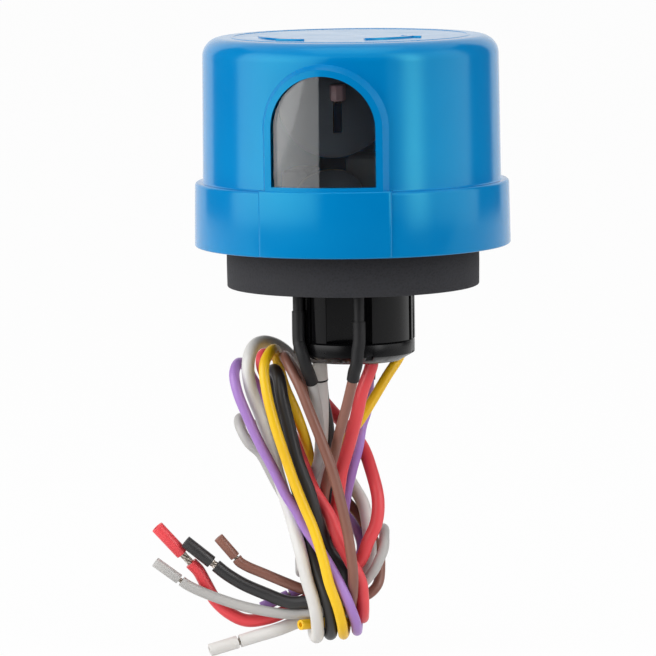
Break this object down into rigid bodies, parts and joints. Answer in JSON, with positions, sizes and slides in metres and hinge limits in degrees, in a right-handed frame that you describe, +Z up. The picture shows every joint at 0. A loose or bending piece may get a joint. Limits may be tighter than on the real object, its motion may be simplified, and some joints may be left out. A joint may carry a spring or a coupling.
{
  "type": "photocell switch",
  "caption": "Blue twist-lock photocell switch with an arched clear window, on a foam gasket and a black receptacle with a folded hank of coloured leads.",
  "frame": {"origin": "centre of the gasket underside, on the axis of the twist-lock", "axes": "+Z up along the twist axis, out of the lamp housing; -Y out of the window; the receptacle is turned 11 degrees about +Z"},
  "size_m": [0.096, 0.0845, 0.1664],
  "materials": {
    "cover_blue": "satin-gloss moulded blue",
    "clear_pane": "clear polycarbonate",
    "inner_black": "matte black moulding",
    "sensor_rose": "clear pinkish epoxy",
    "board_green": "solder mask",
    "relay_white": "moulded case",
    "capacitor_case": "epoxy-filled box",
    "varistor_epoxy": "dipped epoxy",
    "contact_brass": "stamped brass",
    "screw_steel": "zinc plated",
    "tinned_wire": "tinned copper strands",
    "gasket_foam": "matte closed-cell foam",
    "socket_black": "gloss black moulding",
    "sleeve_black": "shrink tube",
    "sleeve_white": "shrink tube",
    "lead_red": "lead insulation",
    "lead_black": "lead insulation",
    "lead_white": "lead insulation",
    "lead_yellow": "lead insulation",
    "lead_brown": "lead insulation",
    "lead_grey": "lead insulation",
    "lead_purple": "lead insulation"
  },
  "bodies": {
    "receptacle": {"gasket": "gasket_foam", "socket_body": "socket_black", "line_clip": "contact_brass", "load_clip": "contact_brass", "neutral_clip": "contact_brass", "signal_pads": "contact_brass", "wire_cap": "socket_black", "grey_sleeve": "sleeve_black", "brown_sleeve": "sleeve_black", "yellow_sleeve": "sleeve_black", "purple_sleeve": "sleeve_black", "white_sleeve": "sleeve_white", "red_lead": "lead_red", "black_lead": "lead_black", "white_lead": "lead_white", "yellow_lead": "lead_yellow", "brown_lead": "lead_brown", "grey_lead": "lead_grey", "purple_lead": "lead_purple", "red_conductor": "tinned_wire", "black_conductor": "tinned_wire", "white_conductor": "tinned_wire", "yellow_conductor": "tinned_wire", "brown_conductor": "tinned_wire", "grey_conductor": "tinned_wire", "purple_conductor": "tinned_wire", "red_slug": "lead_red", "black_slug": "lead_black", "white_slug": "lead_white", "yellow_slug": "lead_yellow", "brown_slug": "lead_brown", "grey_slug": "lead_grey", "purple_slug": "lead_purple"},
    "photocell": {"cover": "cover_blue", "window_pane": "clear_pane", "sensor_shield": "inner_black", "photo_sensor": "sensor_rose", "sensor_legs": "tinned_wire", "circuit_board": "board_green", "relay": "relay_white", "film_capacitor": "capacitor_case", "reservoir_capacitor": "inner_black", "varistor": "varistor_epoxy", "base_plate": "inner_black", "line_blade": "contact_brass", "load_blade": "contact_brass", "neutral_blade": "contact_brass", "signal_contacts": "contact_brass", "base_screws": "screw_steel"}
  },
  "joints": [
    {"name": "photocell_twist", "type": "hinge", "parent": "receptacle", "child": "photocell", "pos_m": [0, 0, 0], "axis": [0, 0, 1], "range_deg": [0, 25]}
  ]
}
